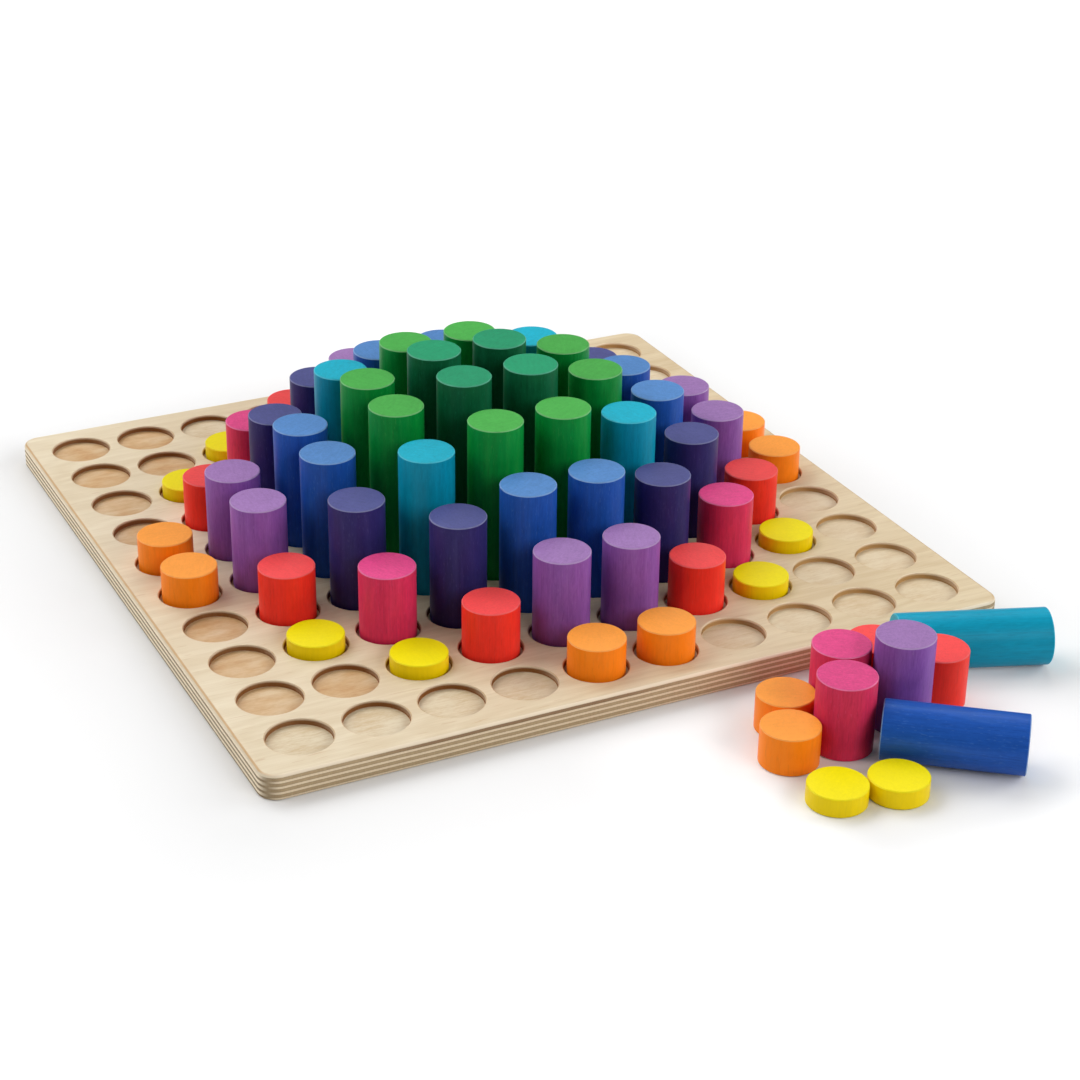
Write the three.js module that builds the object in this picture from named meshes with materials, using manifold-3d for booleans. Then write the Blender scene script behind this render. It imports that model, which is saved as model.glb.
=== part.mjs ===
// Counting cylinder set. A square plywood board has a grid of shallow round recesses. Painted wooden
// cylinders in ten lengths stand in them as a stepped pyramid, and more of them stand and lie beside it.
// Millimetres, +Z up. The origin is the middle of the board's underside, X runs along the front edge
// from left to right, and Y runs from the front edge to the back.

import * as THREE from 'three';
import { mergeVertices } from 'three/addons/utils/BufferGeometryUtils.js';
import Module from 'manifold-3d';

// Cylinders
const CYLINDER_DIAMETER = 30;
const UNIT_LENGTH = 10; // the shortest cylinder, and the step from each length to the next
const END_EASE = 0.7; // chamfer that takes the sharpness off both end edges

// Board
const PLY_THICKNESS = 1.5;
const PLY_COUNT = 9;
const RECESS_DEPTH = 3.5; // into the third ply
const RECESS_CLEARANCE = 3.5; // recess diameter less cylinder diameter
const RECESS_LAND = 6.5; // face left between two neighbouring recesses
const RIM_LAND = 12.25; // face left between the outer recesses and the board's edge
const CORNER_RADIUS = 10; // of the board's outline
const EDGE_ROUND = 2; // of the board's upper and lower edges

// Fits and places
const SEAT_GAP = 0.3; // between a recess floor and the cylinder that stands in it
const LOOSE_GAP = 0.8; // between loose cylinders that stand side by side
const LOOSE_START_X = 47.5; // from the board's centre line to the start of the loose group

// Lengths in units over a quarter of the board, from its outer corner to its middle. 0 is an empty recess.
const QUARTER = [
  [0, 0, 0, 0, 2],
  [0, 0, 1, 3, 5],
  [0, 1, 4, 6, 7],
  [0, 3, 6, 8, 9],
  [2, 5, 7, 9, 10],
];

// Loose cylinders, counted in loose spacings: across to the right of the start, and out from the board's
// front edge. A lying one is given by the middle of its left end and by the turn of its axis in degrees.
const LOOSE_STANDING = [
  { name: 'loose_orange_back', units: 2, across: 0, out: 1.4 },
  { name: 'loose_orange_front', units: 2, across: -0.46, out: 2.3 },
  { name: 'loose_pink_back', units: 4, across: 1, out: 1.4 },
  { name: 'loose_pink_front', units: 4, across: 0.54, out: 2.29 },
  { name: 'loose_purple', units: 5, across: 1.76, out: 2.06 },
  { name: 'loose_red_right', units: 3, across: 2.7, out: 1.72 },
  { name: 'loose_red_back', units: 3, across: 1.93, out: 1.02 },
  { name: 'loose_yellow_left', units: 1, across: -0.4, out: 3.61 },
  { name: 'loose_yellow_right', units: 1, across: 0.575, out: 3.82 },
];
const LOOSE_LYING = [
  { name: 'loose_blue_lying', units: 7, across: 0.92, out: 2.78, turn: -37.5 },
  { name: 'loose_teal_lying', units: 8, across: 2.655, out: 0.54, turn: -20 },
];

// The set is shown as this many separate pieces. The rearmost cylinders past it are one with the board.
const MOST_PIECES = 60;

// Facets
const CYLINDER_SIDES = 16;
const RECESS_SIDES = 14;
const REAR_SIDES = 12;
const CORNER_STEPS = 5;
const EDGE_STEPS = 2;

// Finishes
const PLYWOOD = { colour: 0xe2d4ba, roughness: 0.6 };
const PAINT_ROUGHNESS = 0.5;
const PAINTS = [
  { name: 'yellow', colour: 0xf3d60f },
  { name: 'orange', colour: 0xf08322 },
  { name: 'red', colour: 0xe0242c },
  { name: 'pink', colour: 0xc9216b },
  { name: 'purple', colour: 0x7f45a0 },
  { name: 'indigo', colour: 0x2a2560 },
  { name: 'blue', colour: 0x2550ad },
  { name: 'teal', colour: 0x1396ae },
  { name: 'green', colour: 0x2f9a35 },
  { name: 'dark_green', colour: 0x0f7a45 },
];

// Worked out from the sizes above
const GRID_COUNT = 2 * QUARTER.length;
const CYLINDER_RADIUS = CYLINDER_DIAMETER / 2;
const RECESS_DIAMETER = CYLINDER_DIAMETER + RECESS_CLEARANCE;
const PITCH = RECESS_DIAMETER + RECESS_LAND;
const BOARD_SIDE = (GRID_COUNT - 1) * PITCH + RECESS_DIAMETER + 2 * RIM_LAND;
const BOARD_THICKNESS = PLY_COUNT * PLY_THICKNESS;
const RECESS_FLOOR = BOARD_THICKNESS - RECESS_DEPTH;
const SEAT = RECESS_FLOOR + SEAT_GAP;
const LOOSE_SPACING = CYLINDER_DIAMETER + LOOSE_GAP;

const wasm = await Module();
wasm.setup();

function toSolid(geometry) {
  geometry.deleteAttribute('normal');
  geometry.deleteAttribute('uv');
  const merged = mergeVertices(geometry);
  const vertProperties = new Float32Array(merged.getAttribute('position').array);
  const triVerts = new Uint32Array(merged.getIndex().array);
  return new wasm.Manifold(new wasm.Mesh({ numProp: 3, vertProperties, triVerts }));
}

function toGeometry(solid) {
  const mesh = solid.getMesh();
  const geometry = new THREE.BufferGeometry();
  geometry.setAttribute('position', new THREE.BufferAttribute(mesh.vertProperties, 3));
  geometry.setIndex(new THREE.BufferAttribute(mesh.triVerts, 1));
  geometry.computeVertexNormals();
  return geometry;
}

// The recesses and cylinders of the grid, row by row from the front, each with the length that it holds.
function gridPlaces() {
  const middle = (GRID_COUNT - 1) / 2;
  const fromEdge = (step) => Math.min(step, GRID_COUNT - 1 - step);
  const places = [];
  for (let row = 0; row < GRID_COUNT; row += 1) {
    for (let column = 0; column < GRID_COUNT; column += 1) {
      const units = QUARTER[fromEdge(row)][fromEdge(column)];
      const x = (column - middle) * PITCH;
      const y = (row - middle) * PITCH;
      places.push({ row, column, units, x, y });
    }
  }
  return places;
}

// An upright post between two heights, with a given number of flat sides.
function post(radius, sides, bottom, top, { x, y }) {
  const geometry = new THREE.CylinderGeometry(radius, radius, top - bottom, sides);
  geometry.rotateX(Math.PI / 2);
  geometry.translate(x, y, (bottom + top) / 2);
  return toSolid(geometry);
}

function boardBlank() {
  const inner = BOARD_SIDE / 2 - CORNER_RADIUS;
  const quarterTurn = Math.PI / 2;
  const corners = [[inner, inner], [-inner, inner], [-inner, -inner], [inner, -inner]];
  const outline = new THREE.Shape();
  corners.forEach(([x, y], turn) => {
    outline.absarc(x, y, CORNER_RADIUS, turn * quarterTurn, (turn + 1) * quarterTurn);
  });
  const blank = new THREE.ExtrudeGeometry(outline, {
    depth: BOARD_THICKNESS - 2 * EDGE_ROUND,
    bevelThickness: EDGE_ROUND,
    bevelSize: EDGE_ROUND,
    bevelOffset: -EDGE_ROUND,
    bevelSegments: EDGE_STEPS,
    curveSegments: CORNER_STEPS,
  });
  blank.translate(0, 0, EDGE_ROUND);
  return toSolid(blank);
}

// The board, bored at every place of the grid, with the rearmost cylinders standing fast in their recesses.
// A bore's flat sides touch the true circle from outside, so the clearance holds all round.
function boardGeometry(places, fastened) {
  const boreRadius = RECESS_DIAMETER / 2 / Math.cos(Math.PI / RECESS_SIDES);
  const boreTop = BOARD_THICKNESS + RECESS_CLEARANCE;
  let board = boardBlank();
  for (const place of places) {
    board = board.subtract(post(boreRadius, RECESS_SIDES, RECESS_FLOOR, boreTop, place));
  }
  for (const place of fastened) {
    const foot = RECESS_FLOOR - PLY_THICKNESS / 2;
    const top = SEAT + place.units * UNIT_LENGTH;
    board = board.add(post(CYLINDER_RADIUS, REAR_SIDES, foot, top, place));
  }
  return toGeometry(board);
}

// A turned cylinder with eased ends, standing on the origin. A flat side faces along X.
function cylinderGeometry(units) {
  const length = units * UNIT_LENGTH;
  const profile = [
    new THREE.Vector2(0, 0),
    new THREE.Vector2(CYLINDER_RADIUS - END_EASE, 0),
    new THREE.Vector2(CYLINDER_RADIUS, END_EASE),
    new THREE.Vector2(CYLINDER_RADIUS, length - END_EASE),
    new THREE.Vector2(CYLINDER_RADIUS - END_EASE, length),
    new THREE.Vector2(0, length),
  ];
  const geometry = new THREE.LatheGeometry(profile, CYLINDER_SIDES, Math.PI / CYLINDER_SIDES);
  geometry.rotateX(Math.PI / 2);
  return geometry;
}

function cylinder(name, units) {
  const finish = { color: PAINTS[units - 1].colour, roughness: PAINT_ROUGHNESS, metalness: 0 };
  const mesh = new THREE.Mesh(cylinderGeometry(units), new THREE.MeshStandardMaterial(finish));
  mesh.name = name;
  return mesh;
}

function seatedCylinder({ row, column, units, x, y }) {
  const paint = PAINTS[units - 1].name;
  const mesh = cylinder(`${paint}_${units}_row${row + 1}_place${column + 1}`, units);
  mesh.position.set(x, y, SEAT);
  return mesh;
}

function loosePoint({ across, out }, height) {
  const x = LOOSE_START_X + across * LOOSE_SPACING;
  const y = -BOARD_SIDE / 2 - out * LOOSE_SPACING;
  return new THREE.Vector3(x, y, height);
}

function looseStanding(place) {
  const mesh = cylinder(place.name, place.units);
  mesh.position.copy(loosePoint(place, 0));
  return mesh;
}

// A lying cylinder rests on one of its flat sides.
function looseLying(place) {
  const mesh = cylinder(place.name, place.units);
  const restHeight = CYLINDER_RADIUS * Math.cos(Math.PI / CYLINDER_SIDES);
  mesh.position.copy(loosePoint(place, restHeight));
  mesh.rotation.set(0, Math.PI / 2, THREE.MathUtils.degToRad(place.turn), 'ZYX');
  return mesh;
}

const places = gridPlaces();
const filled = places.filter((place) => place.units > 0);
const seatedCount = MOST_PIECES - 1 - LOOSE_STANDING.length - LOOSE_LYING.length;

const board = new THREE.Mesh(
  boardGeometry(places, filled.slice(seatedCount)),
  new THREE.MeshStandardMaterial({ color: PLYWOOD.colour, roughness: PLYWOOD.roughness, metalness: 0 }),
);
board.name = 'board';

const countingSet = new THREE.Group();
countingSet.add(board);
countingSet.add(...filled.slice(0, seatedCount).map(seatedCylinder));
countingSet.add(...LOOSE_STANDING.map(looseStanding));
countingSet.add(...LOOSE_LYING.map(looseLying));

export default countingSet;
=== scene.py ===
import math
import random

import bmesh
import bpy
from mathutils import Matrix, Vector


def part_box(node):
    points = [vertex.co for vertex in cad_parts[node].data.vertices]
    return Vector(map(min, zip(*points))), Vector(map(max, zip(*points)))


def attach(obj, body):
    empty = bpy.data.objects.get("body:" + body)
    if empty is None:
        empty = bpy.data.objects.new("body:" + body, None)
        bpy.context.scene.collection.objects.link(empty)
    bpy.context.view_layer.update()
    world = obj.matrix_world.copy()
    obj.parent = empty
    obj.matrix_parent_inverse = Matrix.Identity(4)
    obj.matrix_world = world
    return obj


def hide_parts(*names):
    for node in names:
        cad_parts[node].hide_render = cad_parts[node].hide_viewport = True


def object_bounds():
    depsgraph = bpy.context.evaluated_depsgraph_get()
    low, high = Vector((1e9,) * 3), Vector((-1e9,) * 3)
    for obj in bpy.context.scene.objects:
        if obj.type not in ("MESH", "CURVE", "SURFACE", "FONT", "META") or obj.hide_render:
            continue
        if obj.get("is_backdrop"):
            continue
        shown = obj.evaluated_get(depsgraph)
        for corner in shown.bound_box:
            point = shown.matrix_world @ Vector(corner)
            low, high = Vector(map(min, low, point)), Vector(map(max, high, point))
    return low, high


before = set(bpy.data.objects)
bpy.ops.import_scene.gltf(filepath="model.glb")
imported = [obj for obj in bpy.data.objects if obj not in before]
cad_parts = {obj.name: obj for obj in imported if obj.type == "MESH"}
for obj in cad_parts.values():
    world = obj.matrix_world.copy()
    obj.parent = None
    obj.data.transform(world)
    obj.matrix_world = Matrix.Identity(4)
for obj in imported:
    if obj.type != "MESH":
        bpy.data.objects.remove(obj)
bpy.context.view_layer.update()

# Sizes in metres
UNIT = 0.010  # the shortest cylinder, and the step from each length to the next
CYLINDER_RADIUS = 0.015
END_EASE = 0.0004  # rounding of a cylinder's end edges
END_RING = 0.45  # of the radius: a ring that divides each end face
BOARD_THICKNESS = 0.0135
PLY = 0.0015
PLY_COUNT = 9
PLY_WAVE = 0.0005  # how far the seams between plies wander
RECESS_RADIUS = 0.01675
RECESS_FLOOR = 0.0100
RIM_EASE = 0.0006  # rounding of a recess's upper edge
FLOOR_EASE = 0.0003  # rounding between a recess's wall and its floor
CORNER_RADIUS = 0.010  # of the board's outline
UPPER_ROUND = 0.002  # of the board's upper edge
LOWER_ROUND = 0.0007  # of its lower edge
SUPPORT = 0.0003  # width of the strips that keep flat faces flat beside a rounding

# The grid: lengths over a quarter of the board, from its outer corner to its middle.
# 0 is an empty recess.
QUARTER = [
    [0, 0, 0, 0, 2],
    [0, 0, 1, 3, 5],
    [0, 1, 4, 6, 7],
    [0, 3, 6, 8, 9],
    [2, 5, 7, 9, 10],
]
GRID = 2 * len(QUARTER)
LYING_TURN = {"loose_blue_lying": -37.5, "loose_teal_lying": -20.0}  # of the axis, in degrees

# Paints by length: the side and the end face, as sRGB values. The end faces are paler, partly from the
# end grain and partly as a painted sheen.
PAINTS = {
    "yellow": ((243, 212, 0), (239, 223, 0)),
    "orange": ((252, 133, 18), (247, 156, 61)),
    "red": ((243, 52, 38), (239, 74, 74)),
    "pink": ((212, 49, 91), (217, 68, 129)),
    "purple": ((138, 85, 167), (152, 113, 171)),
    "indigo": ((47, 42, 104), (76, 79, 135)),
    "blue": ((30, 83, 172), (80, 130, 190)),
    "teal": ((4, 145, 176), (6, 168, 193)),
    "green": ((2, 137, 54), (68, 164, 69)),
    "dark_green": ((12, 95, 58), (24, 146, 101)),
}
NAMES = list(PAINTS)
FIGURE = {"yellow": 0.07, "orange": 0.11, "red": 0.14}  # how far the grain shows in the paler paints
DEEP_FIGURE = 0.22  # and in the others

# Plywood colours as sRGB values. A pair holds the dark and the pale end of a figured tone.
VENEER = ((211, 193, 161), (227, 214, 187))
VENEER_RIGHT = ((196, 170, 127), (217, 197, 159))  # what the face drifts to on the right
VENEER_FLECK = (190, 156, 116)
FLOOR_PLY = ((194, 170, 131), (214, 200, 171))  # recess floors
# The next colour lightens floors on the right as painted light, against the shade the cylinders cast
# there
FLOOR_RIGHT_LIT = (226, 208, 176)  # what they drift to on the right
FLOOR_GLUE = ((182, 134, 80), (208, 170, 118))  # and where a film of glue shows
FRONT_ALONG = ((212, 190, 156), (234, 216, 186))  # ply edges along the grain, at the front and back
# At the sides these ply edges are paler than at the front and back: partly other plies, partly painted
# light
SIDE_ALONG_LIT = ((234, 216, 186), (252, 238, 212))
FRONT_ENDS = ((161, 135, 99), (193, 169, 130))  # end grain, at the front and back
SIDE_ENDS = ((120, 100, 70), (156, 134, 100))
GLUE_LINE = (126, 96, 66)
DARK_STREAK = (120, 82, 52)
ROUNDING_SIDE = (190, 145, 88)
# The next colour is a painted highlight on the rounding at the front and back
ROUNDING_FRONT_HIGHLIGHT = (246, 230, 204)
SCORCHED_LEFT = (124, 70, 20)  # recess walls on the left half of the board
SCORCHED_RIGHT = (184, 139, 80)  # on the right half, where a wall faces along Y
# The next brown, darker, is browning with painted shade on walls facing along X
SCORCHED_RIGHT_SIDE_SHADED = (148, 106, 56)  # and where it faces along X

# Ranges that the looks of each cylinder are drawn from
WOOD_SPOT = ((0.03, 0.07), (-0.01, 0.01), (0, 3))  # where in the wood it is cut, along X, Y and Z
STAIN_DEPTH = (0.32, 0.6)

# Looks of the recesses: ranges to draw from, where glue shows, and shares of the browning
SCORCH_LEFT = (0.9, 1.0)  # how far a wall is browned, on the left half of the board
SCORCH_RIGHT = (0.8, 0.95)  # and on the right half
GLUED_WARMTH = (0.85, 1.2)  # how far a floor is warmed where glue shows
PLAIN_WARMTH = (0, 0.2)  # and where it doesn't
GLUED_TO_X = -0.1  # glue shows in the recesses from the left up to here
GLUED_FROM_Y = -0.16  # and from here to the back
RIM_SCORCH = 0.3  # share of the browning that the rounded rim takes
UPPER_SCORCH = 0.85  # and that the upper part of the wall takes

# Detail
CYLINDER_STEPS = 64
RECESS_STEPS = 48
CORNER_STEPS = 12
END_STEPS = 4
RIM_STEPS = 3
UPPER_STEPS = 5
LOWER_STEPS = 3

dice = random.Random(7)


# Places from the parts in model.glb

def units_at(row, column):
    return QUARTER[min(row, GRID - 1 - row)][min(column, GRID - 1 - column)]


def place_name(row, column):
    units = units_at(row, column)
    return f"{NAMES[units - 1]}_{units}_row{row + 1}_place{column + 1}"


def middle_of(name):
    low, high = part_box(name)
    return (low + high) / 2


SEATED_COLUMN = 4  # the first one with a cylinder in the front row
first_seated = place_name(0, SEATED_COLUMN)
first_middle = middle_of(first_seated)
PITCH = middle_of(place_name(0, SEATED_COLUMN + 1)).x - first_middle.x
BOARD_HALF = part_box("board")[1].x
grid_start = Vector((first_middle.x - SEATED_COLUMN * PITCH, first_middle.y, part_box(first_seated)[0].z))


# Colours

def linear(colour):
    """An sRGB colour of 0 to 255 as the linear RGBA that a socket takes."""
    parts = [c / 255 for c in colour]
    parts = [c / 12.92 if c <= 0.04045 else ((c + 0.055) / 1.055) ** 2.4 for c in parts]
    return (*parts, 1.0)


def paler(colour, share):
    """A colour mixed towards white."""
    return tuple(c + (255 - c) * share for c in colour)


# Node helpers

def new_material(name):
    material = bpy.data.materials.new(name)
    material.use_nodes = True
    tree = material.node_tree
    return material, tree, tree.nodes["Principled BSDF"]


def node(tree, kind, inputs=None, **settings):
    made = tree.nodes.new("ShaderNode" + kind)
    for key, value in settings.items():
        setattr(made, key, value)
    for key, value in (inputs or {}).items():
        if isinstance(value, bpy.types.NodeSocket):
            tree.links.new(value, made.inputs[key])
        else:
            made.inputs[key].default_value = value
    return made


def sums(tree, operation, *values, clamp=False):
    inputs = dict(enumerate(values))
    return node(tree, "Math", inputs, operation=operation, use_clamp=clamp).outputs[0]


def product(tree, first, *others):
    for value in others:
        first = sums(tree, "MULTIPLY", first, value)
    return first


def layered(tree, tone, *layers):
    """A tone with noises added about their middle, each by its own weight."""
    for value, weight in layers:
        tone = sums(tree, "MULTIPLY_ADD", sums(tree, "SUBTRACT", value, 0.5), weight, tone)
    return tone


def split(tree, vector):
    return node(tree, "SeparateXYZ", {0: vector}).outputs


def stretched(tree, vector, scale):
    inputs = {0: vector, 1: scale}
    return node(tree, "VectorMath", inputs, operation="MULTIPLY").outputs[0]


def noise(tree, vector, stretch, scale, detail=2.0, roughness=0.5, distortion=0.0):
    """A noise of 0 to 1 that is drawn out along the axes whose stretch is below 1."""
    inputs = {
        "Vector": stretched(tree, vector, stretch),
        "Scale": scale,
        "Detail": detail,
        "Roughness": roughness,
        "Distortion": distortion,
    }
    return node(tree, "TexNoise", inputs).outputs["Fac"]


def step(tree, value, low, high):
    """A smooth step from 0 at low to 1 at high."""
    inputs = {"Value": value, "From Min": low, "From Max": high}
    made = node(tree, "MapRange", inputs, interpolation_type="SMOOTHSTEP")
    return made.outputs[0]


def span(tree, value, low, high):
    """A value of 0 to 1 spread from low to high."""
    return node(tree, "MapRange", {"Value": value, "To Min": low, "To Max": high}).outputs[0]


def blend(tree, factor, first, second):
    made = node(tree, "Mix", data_type="RGBA")
    for key, value in (("Factor", factor), ("A", first), ("B", second)):
        socket = [s for s in made.inputs if s.name == key and s.enabled][0]
        if isinstance(value, bpy.types.NodeSocket):
            tree.links.new(value, socket)
        else:
            socket.default_value = value
    return [s for s in made.outputs if s.enabled][0]


def figured(tree, factor, tones):
    """A colour between the dark and the pale tone of a pair."""
    dark, pale = tones
    return blend(tree, factor, linear(dark), linear(pale))


def ramp(tree, value, low, high, tones):
    """The dark tone of a pair up to low, the pale one from high."""
    made = node(tree, "ValToRGB", {"Fac": value})
    for element, place, tone in zip(made.color_ramp.elements, (low, high), tones):
        element.position = place
        element.color = linear(tone)
    return made.outputs["Color"]


def attribute(tree, name, output="Fac"):
    return node(tree, "Attribute", attribute_name=name).outputs[output]


# Materials

def painted_wood(name, side, end, figure):
    """Stained, lacquered beech: fine speckle and faint rings on the ends, streaks along the sides."""
    material, tree, shader = new_material(name)
    grain = attribute(tree, "grain", "Vector")
    along = (1, 1, 0.04)
    wave = {
        "Vector": stretched(tree, grain, along),
        "Scale": 90,
        "Distortion": 5,
        "Detail": 2,
        "Detail Scale": 1.2,
    }
    rings = node(tree, "TexWave", wave, wave_type="RINGS", rings_direction="Z").outputs["Fac"]
    fibres = noise(tree, grain, along, scale=1400, detail=3, roughness=0.6)
    lines = noise(tree, grain, (1, 0.1, 0.02), scale=1500, detail=2, roughness=0.6)
    patches = noise(tree, grain, (1, 1, 0.12), scale=170, detail=3, roughness=0.55)
    speckle = noise(tree, grain, (1, 1, 0.25), scale=720, detail=2, roughness=0.6)
    dots = noise(tree, grain, (1, 1, 0.12), scale=1100, detail=1, roughness=0.4)
    flecks = step(tree, dots, 0.66, 0.74)
    holes = noise(tree, grain, (1, 1, 0.2), scale=1700, detail=1, roughness=0.4)
    pores = step(tree, holes, 0.64, 0.74)

    # The stain, deeper and paler with the grain
    tone = sums(tree, "MULTIPLY_ADD", rings, 0.08, attribute(tree, "lot"))
    tone = layered(tree, tone, (fibres, 0.7), (lines, 0.5), (patches, 0.5), (speckle, 0.8))
    tone = sums(tree, "MULTIPLY_ADD", flecks, -0.3, tone)
    # The end faces take their paler colour: end grain and a painted sheen
    colour = blend(tree, attribute(tree, "end"), linear(side), linear(end))
    depth = span(tree, tone, 1 - figure, 1 + figure)
    colour = node(tree, "VectorMath", {"Vector": colour, "Scale": depth}, operation="SCALE").outputs[0]

    # Where it is thin and in the pores, and on the end edges: rubbing and a painted highlight
    thin = sums(tree, "MULTIPLY_ADD", step(tree, patches, 0.5, 0.75), 0.1, product(tree, pores, 0.16))
    colour = blend(tree, thin, colour, linear(paler(end, figure / 2)))
    # The rounded end edges turn paler: partly rubbed, partly a painted highlight
    rubbed_highlight = product(tree, attribute(tree, "edge"), span(tree, patches, 0.5, 1.0))
    colour = blend(tree, rubbed_highlight, colour, linear(paler(end, 1.4 * figure)))
    tree.links.new(colour, shader.inputs["Base Color"])

    tree.links.new(span(tree, fibres, 0.32, 0.48), shader.inputs["Roughness"])
    shader.inputs["Specular IOR Level"].default_value = 0.14
    height = sums(tree, "MULTIPLY_ADD", lines, 0.6, sums(tree, "SUBTRACT", fibres, flecks))
    bump = node(tree, "Bump", {"Strength": 0.2, "Distance": 0.0001, "Height": height})
    tree.links.new(bump.outputs["Normal"], shader.inputs["Normal"])
    return material


def face_veneer(tree, place, rightward):
    """The face veneer, with its grain along X: its colour, and the streaks and fibres in it."""
    streaks = noise(tree, place, (0.05, 1, 1), scale=330, detail=4, roughness=0.65, distortion=0.3)
    fibres = noise(tree, place, (0.03, 1, 1), scale=2200, detail=2, roughness=0.6)
    swell = noise(tree, place, (0.22, 1, 1), scale=16)
    waves = sums(tree, "PINGPONG", product(tree, swell, 34), 1.0)
    cloud = noise(tree, place, (0.5, 1, 1), scale=11, detail=3)
    dots = noise(tree, place, (0.1, 1, 1), scale=760, detail=1, roughness=0.4)
    flecks = step(tree, dots, 0.69, 0.76)
    tone = sums(tree, "MULTIPLY_ADD", streaks, 0.95, -0.15)
    tone = layered(tree, tone, (fibres, 0.55), (waves, 0.26), (cloud, 1.1))
    left = ramp(tree, tone, 0.05, 0.75, VENEER)
    right = ramp(tree, tone, 0.05, 0.75, VENEER_RIGHT)
    colour = blend(tree, product(tree, rightward, 0.6), left, right)
    colour = blend(tree, product(tree, flecks, 0.4), colour, linear(VENEER_FLECK))
    return colour, streaks, fibres


def recess_floor(tree, place, rightward):
    """A finely speckled inner ply, warmed in some recesses by a film of glue."""
    speckle = noise(tree, place, (0.25, 1, 1), scale=900, detail=3, roughness=0.7)
    bands = noise(tree, place, (0.1, 1, 1), scale=260, detail=3, roughness=0.6, distortion=0.4)
    cloud = noise(tree, place, (0.6, 1, 1), scale=90)
    tone = layered(tree, cloud, (speckle, 1.1), (bands, 1.0))
    plain = ramp(tree, tone, 0.2, 0.75, FLOOR_PLY)
    # Floors turn paler to the right: painted light against the cylinders' shade
    plain = blend(tree, product(tree, rightward, 0.3), plain, linear(FLOOR_RIGHT_LIT))
    tint = attribute(tree, "tint")
    film = sums(tree, "MULTIPLY", tint, span(tree, cloud, 1.3, 0.3), clamp=True)
    return blend(tree, film, plain, figured(tree, tone, FLOOR_GLUE))


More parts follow.
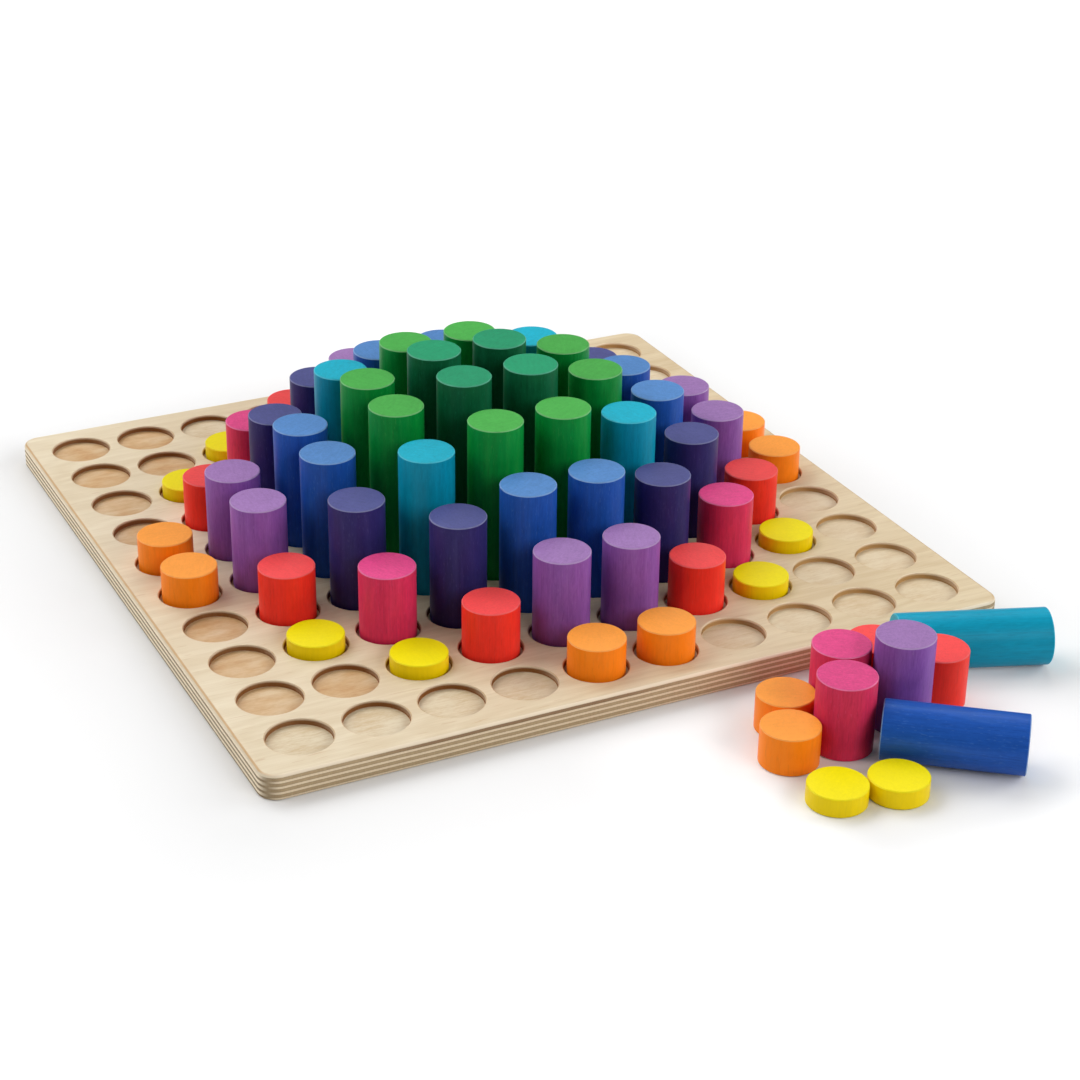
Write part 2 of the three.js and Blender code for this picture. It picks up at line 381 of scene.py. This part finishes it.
def plywood():
    """Lacquered birch plywood. Each ply is dark where its end grain shows and pale along its grain."""
    material, tree, shader = new_material("plywood")
    coordinates = node(tree, "TexCoord").outputs
    place = coordinates["Object"]
    x_face, y_face, z_face = (sums(tree, "ABSOLUTE", s) for s in split(tree, coordinates["Normal"]))
    upright = sums(tree, "SUBTRACT", 1.0, z_face, clamp=True)
    across = split(tree, place)["X"]
    height = split(tree, place)["Z"]

    # Plies counted from the underside, a little wavy, with the grain of every second one along Y
    wobble = noise(tree, place, (1, 1, 0), scale=55)
    plies = sums(tree, "DIVIDE", layered(tree, height, (wobble, PLY_WAVE)), PLY)
    pairs = sums(tree, "FRACT", sums(tree, "MULTIPLY_ADD", plies, 0.5, -0.05))
    along_y = sums(tree, "GREATER_THAN", pairs, 0.4)
    upper_ply = sums(tree, "GREATER_THAN", plies, PLY_COUNT - 1)
    upper_two = sums(tree, "GREATER_THAN", plies, PLY_COUNT - 2.2)
    glue = step(tree, sums(tree, "PINGPONG", plies, 0.5), 0.09, 0.02)
    along_x = sums(tree, "SUBTRACT", 1.0, along_y)
    # At the sides the upper ply's end grain is held paler: a painted highlight where its rounding catches
    # light
    side_ends = product(tree, along_x, x_face, span(tree, upper_ply, 1.0, 0.3))
    end_grain = step(tree, sums(tree, "MULTIPLY_ADD", along_y, y_face, side_ends), 0.1, 0.85)

    rightward = step(tree, across, -0.25, 0.2)
    face, streaks, fibres = face_veneer(tree, place, rightward)
    bored = attribute(tree, "floor")
    face = blend(tree, bored, face, recess_floor(tree, place, rightward))

    # Ply edges on the outside and on the recess walls, with a darker streak in the second ply
    mottle = noise(tree, place, (1, 1, 0.35), scale=900, detail=3, roughness=0.65)
    # Along the grain, ply edges at the sides are paler, partly as painted light
    along = blend(tree, x_face, figured(tree, mottle, FRONT_ALONG), figured(tree, mottle, SIDE_ALONG_LIT))
    ends = blend(tree, x_face, figured(tree, mottle, FRONT_ENDS), figured(tree, mottle, SIDE_ENDS))
    colour = blend(tree, step(tree, upright, 0.3, 0.8), face, along)
    colour = blend(tree, end_grain, colour, ends)
    colour = blend(tree, product(tree, glue, upright, 0.45), colour, linear(GLUE_LINE))
    streak = product(tree, step(tree, across, -0.17, -0.12), step(tree, across, 0.03, -0.03))
    streak = product(tree, streak, product(tree, upper_two, end_grain), 0.65)
    colour = blend(tree, streak, colour, linear(DARK_STREAK))

    # The rounding of the upper edge: warm at the sides, and a painted highlight at the front and back
    both = sums(tree, "ADD", sums(tree, "ADD", x_face, y_face), 0.01)  # never 0
    sideways = sums(tree, "DIVIDE", x_face, both)
    brow = product(tree, step(tree, z_face, 0.6, 0.85), step(tree, z_face, 0.995, 0.94), sideways, 0.9)
    colour = blend(tree, brow, colour, linear(ROUNDING_SIDE))
    forward = sums(tree, "SUBTRACT", 0.75, sideways, clamp=True)
    # A painted highlight on the upper ply's rounding at the front and back
    lip_highlight = product(tree, step(tree, z_face, 0.3, 0.6), step(tree, z_face, 0.998, 0.94))
    lip_highlight = product(tree, lip_highlight, upper_ply, forward)
    colour = blend(tree, lip_highlight, colour, linear(ROUNDING_FRONT_HIGHLIGHT))

    # Recess walls browned by the cutter, with hardly any sheen. On the right half, walls facing along X
    # take a darker brown as painted shade.
    scorch = product(tree, attribute(tree, "wall"), span(tree, mottle, 0.75, 1.05))
    sides = step(tree, x_face, 0.3, 0.9)
    browned = blend(tree, sides, linear(SCORCHED_RIGHT), linear(SCORCHED_RIGHT_SIDE_SHADED))
    browned = blend(tree, step(tree, across, -0.06, 0.06), linear(SCORCHED_LEFT), browned)
    colour = blend(tree, scorch, colour, browned)
    tree.links.new(colour, shader.inputs["Base Color"])
    tree.links.new(span(tree, scorch, 0.5, 0.05), shader.inputs["Specular IOR Level"])

    rough = sums(tree, "MULTIPLY_ADD", end_grain, 0.18, span(tree, streaks, 0.44, 0.6))
    tree.links.new(rough, shader.inputs["Roughness"])
    relief = sums(tree, "ADD", streaks, product(tree, fibres, 0.6))
    relief = sums(tree, "MULTIPLY_ADD", glue, -0.8, relief)
    bump = node(tree, "Bump", {"Strength": 0.3, "Distance": 0.00012, "Height": relief})
    tree.links.new(bump.outputs["Normal"], shader.inputs["Normal"])
    return material


# Shapes

def ring_points(steps):
    turns = [2 * math.pi * k / steps for k in range(steps)]
    return [(math.cos(t), math.sin(t)) for t in turns]


def quarter_round(steps):
    """Shares of a rounding's size, from its start on one face to its end on the other."""
    turns = [math.pi / 2 * k / steps for k in range(steps + 1)]
    return [(1 - math.sin(t), 1 - math.cos(t)) for t in turns]


def bridge(mesh, loops):
    """Bands of faces between each loop and the next."""
    for first, second in zip(loops, loops[1:]):
        count = len(first)
        for k in range(count):
            after = (k + 1) % count
            mesh.faces.new((first[k], first[after], second[after], second[k]))


def fan(mesh, loop, centre):
    """Triangles from a loop to its centre."""
    for k, start in enumerate(loop):
        mesh.faces.new((start, loop[(k + 1) % len(loop)], centre))


def finished(mesh, name, material):
    """The mesh as a smooth object with its material."""
    bmesh.ops.recalc_face_normals(mesh, faces=mesh.faces)
    for face in mesh.faces:
        face.smooth = True
    data = bpy.data.meshes.new(name)
    mesh.to_mesh(data)
    mesh.free()
    data.materials.append(material)
    made = bpy.data.objects.new(name, data)
    bpy.context.collection.objects.link(made)
    return made


def cylinder(name, length, material):
    """A turned cylinder with softly rounded ends, standing on its own origin."""
    flat = CYLINDER_RADIUS - END_EASE - SUPPORT / 2
    # Outline points: radius, height, a mark on the rounded end edges for rubbing and a painted highlight,
    # and 1 on the end faces
    outline = [(CYLINDER_RADIUS * END_RING, 0, 0, 1), (flat, 0, 0, 1)]
    for a, b in quarter_round(END_STEPS):
        outline.append((CYLINDER_RADIUS - END_EASE * (1 - b), END_EASE * (1 - a), 1, a))
    outline.append((CYLINDER_RADIUS, END_EASE + SUPPORT / 2, 0, 0))
    outline += [(r, length - z, marking, end) for r, z, marking, end in reversed(outline)]

    # Each piece is cut from another spot of the wood
    turn = Matrix.Rotation(dice.uniform(0, 2 * math.pi), 3, "Z")
    shift = Vector([dice.uniform(*limits) for limits in WOOD_SPOT])
    batch = dice.uniform(*STAIN_DEPTH)
    mesh = bmesh.new()
    grain = mesh.verts.layers.float_vector.new("grain")
    edge = mesh.verts.layers.float.new("edge")
    end_face = mesh.verts.layers.float.new("end")
    lot = mesh.verts.layers.float.new("lot")

    def point(x, y, z, marking, end):
        made = mesh.verts.new((x, y, z))
        made[grain] = turn @ Vector((x, y, z)) + shift
        made[edge] = marking
        made[end_face] = end
        made[lot] = batch
        return made

    circle = ring_points(CYLINDER_STEPS)
    loops = [[point(r * x, r * y, z, marking, end) for x, y in circle] for r, z, marking, end in outline]
    bridge(mesh, loops)
    fan(mesh, loops[0], point(0, 0, 0, 0, 1))
    fan(mesh, loops[-1], point(0, 0, length, 0, 1))
    return finished(mesh, name, material)


def recess_rings(scorch):
    """A recess from rim to floor, as rings: radius, height, how scorched, and 1 on the floor."""
    top = BOARD_THICKNESS
    bend = FLOOR_EASE * 0.3  # halfway round the rounding between wall and floor
    rings = [(RECESS_RADIUS + RIM_EASE + SUPPORT, top, 0, 0)]
    for a, b in quarter_round(RIM_STEPS):
        marking = scorch * (1 - a) ** 3 * RIM_SCORCH
        rings.append((RECESS_RADIUS + RIM_EASE * a, top - RIM_EASE * b, marking, 0))
    return rings + [
        (RECESS_RADIUS, (RECESS_FLOOR + 2 * top) / 3, scorch * UPPER_SCORCH, 0),
        (RECESS_RADIUS, RECESS_FLOOR + FLOOR_EASE, scorch, 0),
        (RECESS_RADIUS - bend, RECESS_FLOOR + bend, scorch, 0),
        (RECESS_RADIUS - FLOOR_EASE, RECESS_FLOOR, 0, 1),
        (RECESS_RADIUS - 2 * FLOOR_EASE, RECESS_FLOOR, 0, 1),
        (RECESS_RADIUS / 2, RECESS_FLOOR, 0, 1),
    ]


def board_outline(inset):
    """The points of the board's outline, drawn in by an inset."""
    reach = BOARD_HALF - CORNER_RADIUS
    radius = CORNER_RADIUS - inset
    points = []
    for quarter, (sx, sy) in enumerate(((1, 1), (-1, 1), (-1, -1), (1, -1))):
        for k in range(CORNER_STEPS + 1):
            t = math.pi / 2 * (quarter + k / CORNER_STEPS)
            points.append((sx * reach + radius * math.cos(t), sy * reach + radius * math.sin(t)))
    return points


def board(name, material, centres):
    """The plywood board: a cell of rings round each recess, and a rounded border round them all."""
    mesh = bmesh.new()
    wall = mesh.verts.layers.float.new("wall")
    floor = mesh.verts.layers.float.new("floor")
    tint = mesh.verts.layers.float.new("tint")
    circle = ring_points(RECESS_STEPS)
    cell = [(x / max(abs(x), abs(y)), y / max(abs(x), abs(y))) for x, y in circle]
    top = BOARD_THICKNESS

    def loop(points, z, is_wall=0.0, is_floor=0.0, warmth=0.0):
        made = [mesh.verts.new((x, y, z)) for x, y in points]
        for v in made:
            v[wall] = is_wall
            v[floor] = is_floor
            v[tint] = warmth
        return made

    def around(cx, cy, radius, shape):
        return [(cx + radius * x, cy + radius * y) for x, y in shape]

    for cx, cy in centres:
        scorch = dice.uniform(*(SCORCH_RIGHT if cx > 0 else SCORCH_LEFT))
        plain = cx > GLUED_TO_X or cy < GLUED_FROM_Y
        warmth = dice.uniform(*(PLAIN_WARMTH if plain else GLUED_WARMTH))
        loops = [loop(around(cx, cy, PITCH / 2, cell), top)]
        for radius, z, is_wall, is_floor in recess_rings(scorch):
            loops.append(loop(around(cx, cy, radius, circle), z, is_wall, is_floor, warmth * is_floor))
        bridge(mesh, loops)
        fan(mesh, loops[-1], loop([(cx, cy)], RECESS_FLOOR, 0, 1, warmth)[0])
    bmesh.ops.remove_doubles(mesh, verts=mesh.verts, dist=1e-6)
    rim = [e for e in mesh.edges if e.is_boundary]

    levels = [(UPPER_ROUND + SUPPORT, top)]
    levels += [(UPPER_ROUND * a, top - UPPER_ROUND * b) for a, b in quarter_round(UPPER_STEPS)]
    levels += [(LOWER_ROUND * a, LOWER_ROUND * b) for a, b in reversed(quarter_round(LOWER_STEPS))]
    levels.append((LOWER_ROUND + SUPPORT, 0))
    loops = [loop(board_outline(inset), z) for inset, z in levels]
    bridge(mesh, loops)
    mesh.faces.new(loops[-1])
    inner = [mesh.edges.get((v, loops[0][k - 1])) for k, v in enumerate(loops[0])]
    bmesh.ops.triangle_fill(mesh, edges=rim + inner, use_beauty=True, normal=(0, 0, 1))
    return finished(mesh, name, material)


# Pieces

paints = {
    name: painted_wood("painted_" + name, side, end, FIGURE.get(name, DEEP_FIGURE))
    for name, (side, end) in PAINTS.items()
}
centres = [
    (grid_start.x + column * PITCH, grid_start.y + row * PITCH)
    for row in range(GRID)
    for column in range(GRID)
]

board_piece = board("board_plywood", plywood(), centres)
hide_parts("board")
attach(board_piece, "board")


def dressed(name, units, body):
    """A painted cylinder, shown in place of its node unless it is one solid with the board."""
    paint = NAMES[units - 1]
    piece = cylinder(name + "_cylinder", units * UNIT, paints[paint])
    if body != "board":
        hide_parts(name)
    return piece


for row in range(GRID):
    for column in range(GRID):
        units = units_at(row, column)
        if not units:
            continue
        name = place_name(row, column)
        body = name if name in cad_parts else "board"
        piece = dressed(name, units, body)
        piece.location = grid_start + Vector((column * PITCH, row * PITCH, 0))
        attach(piece, body)

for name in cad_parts:
    if not name.startswith("loose_"):
        continue
    paint = name.split("_")[1]
    units = NAMES.index(paint) + 1
    piece = dressed(name, units, name)
    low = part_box(name)[0]
    middle = middle_of(name)
    if name in LYING_TURN:
        turn = Matrix.Rotation(math.radians(LYING_TURN[name]), 4, "Z")
        lie = turn @ Matrix.Rotation(math.pi / 2, 4, "Y")
        rest = Vector((middle.x, middle.y, low.z + CYLINDER_RADIUS))
        centred = Matrix.Translation((0, 0, -units * UNIT / 2))
        piece.matrix_world = Matrix.Translation(rest) @ lie @ centred
    else:
        piece.location = (middle.x, middle.y, low.z)
    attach(piece, name)

# Floor

FLOOR_REACH = 8.0
FLOOR_DROP = 0.0002  # below the board's underside
PAPER_GREY = 0.81
BOUNCE_GREY = 0.82  # what light that bounces sees of it
LOOSE_BOX = ((0.11, -0.29, 0), (0.07, 0.05, 1))  # middle and half size of the loose group's place
LOOSE_CORE = ((0.075, -0.3, 0), (0.03, 0.05, 1))  # and of its shaded middle
GLOW_BASE = 0.01  # right beside the set
GLOW_STEPS = [(0.01, 0.06, 0.06), (0.05, 0.18, 0.4), (0.6, 2.8, 0.6)]  # from, to, and how much it adds
GLOW_RING = 0.14  # what a ring beside the loose group adds


def grey(level):
    return (level, level, level, 1)


def seen(tree):
    """1 where the camera, a reflection or glass looks at a surface, 0 for light that bounces."""
    rays = node(tree, "LightPath").outputs
    eyes = sums(tree, "MAXIMUM", rays["Is Camera Ray"], rays["Is Glossy Ray"])
    return sums(tree, "MAXIMUM", eyes, rays["Is Transmission Ray"])


def outside(tree, middle, half):
    """How far a point of the floor is from a box."""
    vector = node(tree, "TexCoord").outputs["Object"]
    operations = (("SUBTRACT", middle), ("ABSOLUTE", None), ("SUBTRACT", half), ("MAXIMUM", (0, 0, 0)))
    for operation, value in operations:
        inputs = {0: vector} if value is None else {0: vector, 1: value}
        vector = node(tree, "VectorMath", inputs, operation=operation).outputs[0]
    return node(tree, "VectorMath", {0: vector}, operation="LENGTH").outputs["Value"]


def floor_glow(tree):
    """How much the paper brightens towards white, away from the set and beside the loose group."""
    from_board = outside(tree, (0, 0, 0), (BOARD_HALF, BOARD_HALF, 1))
    away = sums(tree, "MINIMUM", from_board, outside(tree, *LOOSE_BOX))
    strength = GLOW_BASE
    for low, high, share in GLOW_STEPS:
        strength = sums(tree, "MULTIPLY_ADD", step(tree, away, low, high), share, strength)
    beside = outside(tree, *LOOSE_CORE)
    ring = product(tree, step(tree, beside, 0.005, 0.04), step(tree, beside, 0.12, 0.05))
    ring = product(tree, ring, step(tree, from_board, 0.0, 0.03))
    return sums(tree, "MULTIPLY_ADD", ring, GLOW_RING, strength)


floor_data = bpy.data.meshes.new("floor")
corners = [(x * FLOOR_REACH, y * FLOOR_REACH, 0) for x, y in ((-1, -1), (1, -1), (1, 1), (-1, 1))]
floor_data.from_pydata(corners, [], [(0, 1, 2, 3)])
floor = bpy.data.objects.new("floor", floor_data)
bpy.context.collection.objects.link(floor)
floor.location.z = -FLOOR_DROP
floor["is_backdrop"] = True

floor_material, tree, shader = new_material("floor")
tree.nodes.remove(shader)
bounce = node(tree, "BsdfDiffuse", {"Color": grey(BOUNCE_GREY)}).outputs[0]
paper = node(tree, "BsdfDiffuse", {"Color": grey(PAPER_GREY)}).outputs[0]
glow = node(tree, "Emission", {"Color": grey(1), "Strength": floor_glow(tree)}).outputs[0]
bright = node(tree, "AddShader", {0: paper, 1: glow}).outputs[0]
mixed = node(tree, "MixShader", {0: seen(tree), 1: bounce, 2: bright}).outputs[0]
tree.links.new(mixed, tree.nodes["Material Output"].inputs["Surface"])
floor_data.materials.append(floor_material)

# Light

SKY_LOW = 0.03  # strength of the sky at the horizon
SKY_RISE = 0.04  # and what it gains overhead

scene = bpy.context.scene
world = bpy.data.worlds.new("studio")
scene.world = world
world.use_nodes = True
tree = world.node_tree
sky = tree.nodes["Background"]
sky.inputs["Color"].default_value = grey(1)
eye = node(tree, "LightPath").outputs["Is Camera Ray"]
overhead = split(tree, node(tree, "TexCoord").outputs["Generated"])["Z"]
dome = sums(tree, "MULTIPLY_ADD", step(tree, overhead, 0.0, 0.8), SKY_RISE, SKY_LOW)
tree.links.new(sums(tree, "MAXIMUM", eye, dome), sky.inputs["Strength"])


def softbox(name, place, width, height, radiance):
    """A rectangular lamp that faces the middle of the board."""
    data = bpy.data.lights.new(name, "AREA")
    data.shape = "RECTANGLE"
    data.size = width
    data.size_y = height
    data.energy = radiance * math.pi * width * height
    lamp = bpy.data.objects.new(name, data)
    bpy.context.collection.objects.link(lamp)
    lamp.location = place
    lamp.rotation_euler = (-Vector(place)).to_track_quat("-Z", "Y").to_euler()


softbox("softbox_top", (0.0, 0.0, 4.0), width=4.8, height=4.8, radiance=0.22)
softbox("softbox_back", (0.6, 2.6, 3.0), width=4.2, height=2.4, radiance=2.1)
softbox("softbox_back_left", (-1.9, 2.2, 2.7), width=3.8, height=3.0, radiance=2.8)
softbox("softbox_left", (-3.0, 0.4, 1.8), width=3.0, height=2.4, radiance=1.05)
softbox("softbox_right", (2.9, -0.7, 1.5), width=2.0, height=2.0, radiance=3.4)
softbox("softbox_front", (1.15, -2.85, 1.75), width=2.2, height=1.6, radiance=4.7)

# Camera

CAMERA_PLACE = (-0.52152, -1.12124, 0.62697)
CAMERA_YAW = math.radians(63.52)
CAMERA_PITCH = math.radians(-26.974)
CAMERA_ROLL = math.radians(0.738)
SENSOR_WIDTH = 36
FOCAL_PIXELS = 2432.4
IMAGE_SIDE = 1080

look = Vector((
    math.cos(CAMERA_PITCH) * math.cos(CAMERA_YAW),
    math.cos(CAMERA_PITCH) * math.sin(CAMERA_YAW),
    math.sin(CAMERA_PITCH),
))
level = look.cross(Vector((0, 0, 1))).normalized()
upward = level.cross(look)
right = math.cos(CAMERA_ROLL) * level + math.sin(CAMERA_ROLL) * upward
up = math.cos(CAMERA_ROLL) * upward - math.sin(CAMERA_ROLL) * level
camera_data = bpy.data.cameras.new("camera")
camera_data.sensor_width = SENSOR_WIDTH
camera_data.lens = SENSOR_WIDTH * FOCAL_PIXELS / IMAGE_SIDE
camera = bpy.data.objects.new("camera", camera_data)
bpy.context.collection.objects.link(camera)
facing = Matrix((right, up, -look)).transposed().to_4x4()
camera.matrix_world = Matrix.Translation(CAMERA_PLACE) @ facing
scene.camera = camera
scene.view_settings.view_transform = "Standard"

low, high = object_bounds()
